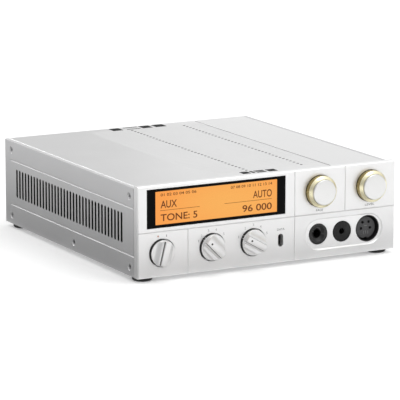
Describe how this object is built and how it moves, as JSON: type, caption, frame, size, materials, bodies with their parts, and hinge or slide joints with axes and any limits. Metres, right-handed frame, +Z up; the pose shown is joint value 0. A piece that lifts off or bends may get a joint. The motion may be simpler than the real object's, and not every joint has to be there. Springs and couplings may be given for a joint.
{
  "type": "headphone amplifier",
  "caption": "Desktop headphone amplifier: silver aluminium case with an amber display, pointer knobs, gold-rimmed rotary knobs and front headphone sockets.",
  "frame": {"origin": "centre of the bounding box at its bottom, on the surface that the feet stand on", "axes": "+X to the right seen from the front, +Y from the front panel to the rear, +Z up"},
  "size_m": [0.245, 0.2748, 0.0803],
  "materials": {
    "case": "fine bead-blasted satin, clear anodised",
    "knob": "satin turned",
    "gold": "polished, gold plated",
    "window": "gloss black window",
    "display": "lit amber display",
    "rubber": "matte",
    "connector": "satin black",
    "control": "dark grey moulded",
    "steel": "plated",
    "board": "solder-masked glass fibre"
  },
  "bodies": {
    "chassis": {"front_panel": "case", "top_cover": "case", "bottom_plate": "case", "rear_panel": "case", "left_side_panel": "case", "right_side_panel": "case", "left_screw_upper_front": "steel", "left_screw_upper_rear": "steel", "left_screw_lower_front": "steel", "left_screw_lower_middle": "steel", "left_screw_lower_rear": "steel", "foot_front_left": "rubber", "foot_rear_left": "rubber", "right_screw_upper_front": "steel", "right_screw_upper_rear": "steel", "right_screw_lower_front": "steel", "right_screw_lower_middle": "steel", "right_screw_lower_rear": "steel", "foot_front_right": "rubber", "foot_rear_right": "rubber", "display_window": "window", "lcd_panel": "display", "power_switch": "control", "input_switch": "control", "output_switch": "control", "menu_encoder": "control", "volume_encoder": "control", "jack_6_35": "connector", "jack_4_4": "connector", "xlr_socket_shell": "connector", "xlr_socket_insert": "control", "usb_c_port": "steel", "mains_inlet": "connector", "line_out_right": "gold", "line_out_left": "gold", "balanced_out_right": "connector", "balanced_out_left": "connector", "data_socket": "steel", "display_board": "board", "control_board": "board", "encoder_board": "board", "headphone_board": "board", "main_board": "board", "power_transformer": "control", "heat_sink": "steel", "smoothing_capacitor_left": "control", "smoothing_capacitor_right": "control"},
    "power_control": {"power_knob": "knob", "power_shaft": "steel"},
    "input_control": {"input_knob": "knob", "input_shaft": "steel"},
    "output_control": {"output_knob": "knob", "output_shaft": "steel"},
    "menu_control": {"menu_knob_ring": "gold", "menu_knob_cap": "knob", "menu_shaft": "steel"},
    "volume_control": {"volume_knob_ring": "gold", "volume_knob_cap": "knob", "volume_shaft": "steel"},
    "menu_press": {"menu_plunger": "connector"}
  },
  "joints": [
    {"name": "power_turn", "type": "hinge", "parent": "chassis", "child": "power_control", "pos_m": [-0.1002, -0.129, 0.0238], "axis": [0, 1, 0], "range_deg": [-28, 0]},
    {"name": "input_turn", "type": "hinge", "parent": "chassis", "child": "input_control", "pos_m": [-0.0538, -0.129, 0.0238], "axis": [0, 1, 0], "range_deg": [-30, 90]},
    {"name": "output_turn", "type": "hinge", "parent": "chassis", "child": "output_control", "pos_m": [-0.0154, -0.129, 0.0238], "axis": [0, 1, 0], "range_deg": [0, 120]},
    {"name": "menu_push", "type": "slide", "parent": "chassis", "child": "menu_press", "axis": [0, 1, 0], "range_m": [0, 0.0008], "stiffness_N_per_m": 3000},
    {"name": "menu_turn", "type": "hinge", "parent": "menu_press", "child": "menu_control", "pos_m": [0.0487, -0.129, 0.06085], "axis": [0, 1, 0], "continuous": true},
    {"name": "volume_turn", "type": "hinge", "parent": "chassis", "child": "volume_control", "pos_m": [0.0979, -0.129, 0.06085], "axis": [0, 1, 0], "continuous": true}
  ]
}
